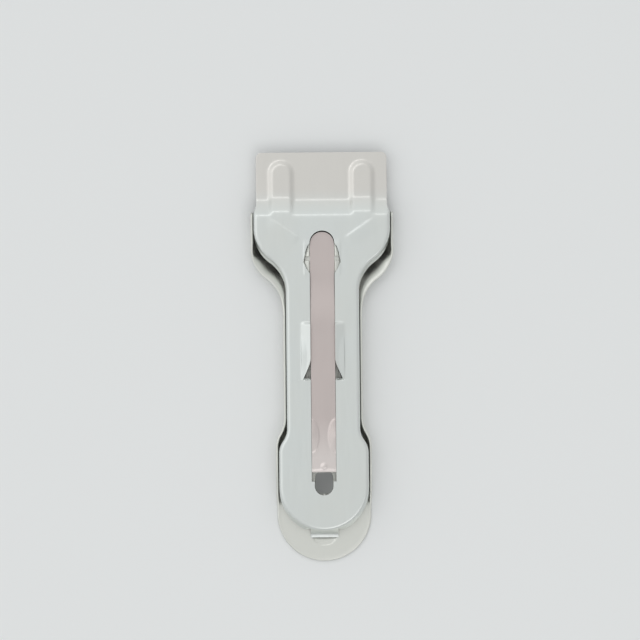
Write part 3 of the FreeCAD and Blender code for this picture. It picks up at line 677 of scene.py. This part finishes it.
WINDOW_REAR_Y = WINDOW_FRONT_Y - 9.6
WINDOW_FRONT_CURVE = 0.5
WINDOW_REAR_CURVE = 0.8
COLLAR_REAR_SPAN = (WINDOW_REAR_Y - 1.5, WINDOW_REAR_Y)
COLLAR_FRONT_SPAN = (WINDOW_FRONT_Y - 0.5, WINDOW_FRONT_Y + 2.0)
CHEEK_FRONT_Y = FRONT_Y - 55.9
CHEEK_REAR_Y = CHEEK_FRONT_Y - 19.5
CHEEK_HALF = 7.3
CHEEK_HEIGHT = 1.1
CHEEK_BEND = 0.09
CHEEK_END_RUN = 1.2
LENS_Y = CHEEK_REAR_Y + 8.0
LENS_HALF_LENGTH = 7.2
LENS_REACH = 2.1
LENS_LIFT = 0.42
LENS_EDGE = 0.35
CHEEK_RELIEF = 7.0
CHEEK_RELIEF_HALF = 6.8
CHEEK_RELIEF_CURVE = 1.3


def step_profile(y, foot_y, crest_y, low):
    """Height of the bent sheet: a flat plate at a low height, a sloping step, and the flat top."""
    return low + (COVER_TOP - low) * soft_ramp((foot_y - y) / (foot_y - crest_y), STEP_BEND)


def cover_height(x, y):
    """The cover's top surface: the step, blended to a raised step inside the two capsule-shaped ribs, with a
    one-sided crease on each shoulder, a low collar round the window and the sloping thumb cheeks."""
    plain = step_profile(y, STEP_FOOT_Y, CREST_Y, PLATE_TOP)
    raised = step_profile(y, RIB_FOOT_Y, RIB_CREST_Y, PLATE_TOP + RIB_HEIGHT)
    ahead = np.maximum(y - (RIB_FRONT_Y - RIB_FOOT_HALF), 0.0)
    down_rib = (np.hypot(x - RIB_X, ahead) - RIB_TOP_HALF) / (RIB_FOOT_HALF - RIB_TOP_HALF)
    rib = 1 - soft_ramp(down_rib, RIB_BEND)
    z = plain + (raised - plain) * rib
    run_x, run_y = CREASE_TO[0] - CREASE_FROM[0], CREASE_TO[1] - CREASE_FROM[1]
    length = math.hypot(run_x, run_y)
    along = ((x - CREASE_FROM[0]) * run_x + (y - CREASE_FROM[1]) * run_y) / length
    beyond = ((x - CREASE_FROM[0]) * -run_y + (y - CREASE_FROM[1]) * run_x) / length
    ends = smooth(along, *CREASE_START) * (1 - smooth(along - length, *CREASE_STOP))
    crease = smooth(beyond, -CREASE_RISE_RUN, 0.0) * (1 - smooth(beyond, 0.0, CREASE_FALL_RUN))
    z = z + CREASE_HEIGHT * ends * crease
    collar = smooth(y, *COLLAR_REAR_SPAN) * (1 - smooth(y, *COLLAR_FRONT_SPAN))
    z = z + COLLAR_HEIGHT * collar * (1 - smooth(x, COLLAR_HALF - COLLAR_RUN, COLLAR_HALF))
    cheek = np.where((y < CHEEK_FRONT_Y) & (y > CHEEK_REAR_Y), 1.0, 0.0)
    slope = soft_ramp((CHEEK_HALF - x) / (CHEEK_HALF - SLOT_HALF), CHEEK_BEND)
    end_fall = smooth(CHEEK_FRONT_Y - y, 0.0, CHEEK_END_RUN)
    lens = np.hypot((CHEEK_HALF - x) / LENS_REACH, (y - LENS_Y) / LENS_HALF_LENGTH)
    lens_lift = LENS_LIFT * np.maximum(1 - lens, 0) * smooth(CHEEK_HALF - x, 0.0, LENS_EDGE)
    return z + cheek * end_fall * (CHEEK_HEIGHT * np.clip(slope, 0, None) + lens_lift)


def slot_side(y):
    """Half width of what is cut through the cover: round front, slot, window, cheek relief and narrow end."""
    centre = SLOT_FRONT_Y - SLOT_HALF
    half = np.where(y > centre, np.sqrt(np.maximum(SLOT_HALF**2 - (y - centre) ** 2, 0)), SLOT_HALF)
    half = np.where(y > SLOT_FRONT_Y, 0.0, half)
    half = np.where(y < SLOT_REAR_Y, SLOT_END_HALF, half)
    grow = np.clip((WINDOW_FRONT_Y - y) / (WINDOW_FRONT_Y - WINDOW_WIDE_Y), 0, 1) ** WINDOW_FRONT_CURVE
    shrink = np.clip((y - WINDOW_REAR_Y) / (WINDOW_WIDE_Y - WINDOW_REAR_Y), 0, 1) ** WINDOW_REAR_CURVE
    window = SLOT_HALF + (WINDOW_HALF - SLOT_HALF) * np.minimum(grow, shrink)
    half = np.where((y < WINDOW_FRONT_Y) & (y > WINDOW_REAR_Y), window, half)
    open_share = np.clip((CHEEK_REAR_Y + CHEEK_RELIEF - y) / CHEEK_RELIEF, 0, 1) ** CHEEK_RELIEF_CURVE
    relief = SLOT_HALF + (CHEEK_RELIEF_HALF - SLOT_HALF) * open_share
    return np.where((y > CHEEK_REAR_Y) & (y < CHEEK_REAR_Y + CHEEK_RELIEF), relief, half)


tail_centre_y = COVER_STATIONS[4]
straight_y = np.concatenate([
    FRONT_Y - PLATE_CORNER * (1 - np.cos(np.linspace(0, math.pi / 2, 10))),
    spaced(FRONT_Y - PLATE_CORNER, RIB_FOOT_Y + 1.0, 0.42)[1:],
    spaced(RIB_FOOT_Y + 1.0, CREST_Y - 2.0, 0.22)[1:],
    spaced(CREST_Y - 2.0, SLOT_FRONT_Y, 0.4)[1:],
    SLOT_FRONT_Y - SLOT_HALF * (1 - np.cos(np.linspace(0, math.pi / 2, 18)))[1:],
    spaced(SLOT_FRONT_Y - SLOT_HALF, WINDOW_REAR_Y - 2, 0.35)[1:],
    spaced(WINDOW_REAR_Y - 2, CHEEK_FRONT_Y + NEAR, 0.8)[1:],
    spaced(CHEEK_FRONT_Y - NEAR, CHEEK_REAR_Y + NEAR, 0.32),
    spaced(CHEEK_REAR_Y - NEAR, SLOT_REAR_Y + NEAR, 0.8),
    spaced(SLOT_REAR_Y - NEAR, tail_centre_y, 0.5),
])
straight_half = handle_side(straight_y, COVER_HALVES, COVER_STATIONS)
flare = PLATE_HALF + (COVER_HALVES[0] - PLATE_HALF) * smooth(-straight_y, -FLARE_FROM_Y, -CREST_Y)
straight_half = np.where(straight_y > CREST_Y, flare, straight_half)
into_corner = np.maximum(straight_y - (FRONT_Y - PLATE_CORNER), 0.0)
straight_half = straight_half - PLATE_CORNER + np.sqrt(PLATE_CORNER**2 - into_corner**2)
fan = np.linspace(0, math.pi / 2, 30)[1:]
cover_x = np.concatenate([straight_half, COVER_HALVES[2] * np.cos(fan)])
cover_y = np.concatenate([straight_y, tail_centre_y - COVER_HALVES[2] * np.sin(fan)])
cover_normal_x, cover_normal_y = outward(cover_x, cover_y)
on_plate = cover_y > CREST_Y
cover_normal_x[on_plate], cover_normal_y[on_plate] = 1.0, 0.0
cover_normal_x[-1], cover_normal_y[-1] = 0.0, -1.0
edge_round = PLATE_ROUND + (COVER_ROUND - PLATE_ROUND) * smooth(-cover_y, -ROUND_FROM_Y, -ROUND_TO_Y)

top_edge_x = cover_x - cover_normal_x * edge_round
top_edge_y = cover_y - cover_normal_y * edge_round
inner_x = np.concatenate([slot_side(top_edge_y[:len(straight_y)]), SLOT_END_HALF * np.cos(fan)])
inner_y = np.concatenate([top_edge_y[:len(straight_y)], tail_centre_y - SLOT_END_HALF * np.sin(fan)])
to_edge = np.linspace(0, 1, 54)
top_x = inner_x[:, None] + (top_edge_x - inner_x)[:, None] * to_edge
top_y = inner_y[:, None] + (top_edge_y - inner_y)[:, None] * to_edge
top_z = cover_height(top_x, top_y)
top_grid = stack(top_x, top_y, top_z)

edge_turn = np.linspace(0, math.pi / 2, 7)
edge_reach = edge_round[:, None] * (1 - np.sin(edge_turn))
edge_x = set_in(cover_x, cover_normal_x, edge_reach)
edge_y = set_in(cover_y, cover_normal_y, edge_reach)
edge_z = top_z[:, -1:] - edge_round[:, None] * (1 - np.cos(edge_turn))
edge_grid = stack(edge_x, edge_y, edge_z)

has_skirt = cover_y < STEP_FOOT_Y
skirt_x, skirt_y = cover_x[has_skirt], cover_y[has_skirt]
skirt_from = edge_z[has_skirt, -1:]
skirt_to = np.where(skirt_y > RAMP_FOOT_Y, SKIRT_LOW_HEAD, SKIRT_LOW)
shoulder_ledge = smooth(skirt_y, *LEDGE_REAR_SPAN) * (1 - smooth(skirt_y, *LEDGE_FRONT_SPAN))
skirt_to = np.maximum(skirt_to, SKIRT_LOW + (SKIRT_LOW_SHOULDER - SKIRT_LOW) * shoulder_ledge)[:, None]
tail_ledge = 1 - smooth(skirt_y, tail_centre_y, tail_centre_y + TAIL_LEDGE_RUN)
tail_ledge = tail_ledge * smooth(skirt_x, *TONGUE_SPAN)
setback = LEDGE_REACH * (shoulder_ledge + tail_ledge)

# Down the skirt, each level goes back by its share of the ledge's reach; the first and last are its edges.
level = LEDGE_Z + LEDGE_LEVELS + (TAIL_LEVELS - LEDGE_LEVELS) * tail_ledge[:, None]
level[:, 0], level[:, -1] = skirt_from[:, 0], skirt_to[:, 0]
level = np.maximum(np.minimum(level, skirt_from), skirt_to)
skirt_grid = stack(skirt_x[:, None], skirt_y[:, None] - setback[:, None] * LEDGE_SHARES, level)

# The same satin zinc plate, a little glossier; its cooler tint, and the warmer tint on the guard over the
# blade, are painted reflections.
cover_plate = plated_steel("satin_zinc_plate_cover", "#DFE4E3", "#DFE1DD", 0.34, "#DFDCD7", *GUARD_REFLECTION_SPAN)
cover_grids = [top_grid, edge_grid, skirt_grid]
cover_grids += [mirrored(grid) for grid in cover_grids]
cover = sheet_piece("cover_pressing", cover_grids, cover_plate, "guard",
                    thickness=COVER_SHEET, edge=0.08)
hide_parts("guard_cover")

# Guard hems
# The guard's sides, of the cover's own sheet, folded down and in under the deck, so that the cover can't lift
# while it slides.
HEM_FRONT_Y = FRONT_Y - 3.0
HEM_REAR_Y = FRONT_Y - 15.0
HEM_LOW = 1.2
HEM_LIP = 2.0
HEM_BEND = 0.75
HEM_LAP = 0.3
hem_turn = np.linspace(0, math.pi / 2, 9)
hem_x = np.concatenate([
    [PLATE_HALF] * 6,
    PLATE_HALF - HEM_BEND * (1 - np.cos(hem_turn)),
    np.linspace(PLATE_HALF - HEM_BEND, PLATE_HALF - HEM_LIP, 6)[1:],
])
hem_z = np.concatenate([
    np.linspace(PLATE_TOP - HEM_LAP, HEM_LOW + HEM_BEND, 7)[:-1],
    HEM_LOW + HEM_BEND * (1 - np.sin(hem_turn)),
    [HEM_LOW] * 5,
])
hem_grid = stack(hem_x, spaced(HEM_FRONT_Y, HEM_REAR_Y, 0.5)[:, None], hem_z)
sheet_piece("guard_hems", [hem_grid, mirrored(hem_grid)], cover_plate, "guard",
            thickness=COVER_SHEET, edge=0.1)

# Tail tongue
# A tongue of the same sheet at the cover's tail, bent down to a short foot that runs just over the tray's
# floor and keeps the tail level.
TONGUE_SLOPE_RUN = 1.2
TONGUE_FOOT = 1.3
TONGUE_FROM = 6.9
TONGUE_TOP = 2.2
TONGUE_TOE_DROP = 0.46
TONGUE_BROW = 0.2
TONGUE_BEND = 0.12
cover_tail_y = tail_centre_y - COVER_HALVES[2]
slope_y = cover_tail_y - TONGUE_SLOPE_RUN
toe_y = slope_y - TONGUE_FOOT
tongue_x = TONGUE_HALF * np.linspace(-1, 1, 21)
brow_y = tail_centre_y - np.sqrt(COVER_HALVES[2] ** 2 - tongue_x**2)
tongue_y = brow_y + COVER_SHEET + (toe_y - brow_y - COVER_SHEET) * np.linspace(0, 1, 40)[:, None]
bend_y = brow_y + TONGUE_BROW
drop = soft_ramp((bend_y - tongue_y) / (bend_y - slope_y), TONGUE_BEND)
toe_drop = TONGUE_TOE_DROP * np.clip((slope_y - tongue_y) / TONGUE_FOOT, 0, 1)
tongue_grid = stack(tongue_x, tongue_y, TONGUE_FROM + (TONGUE_TOP - TONGUE_FROM) * drop - toe_drop)
sheet_piece("tail_tongue", [tongue_grid], cover_plate, "guard",
            thickness=COVER_SHEET, edge=0.12)
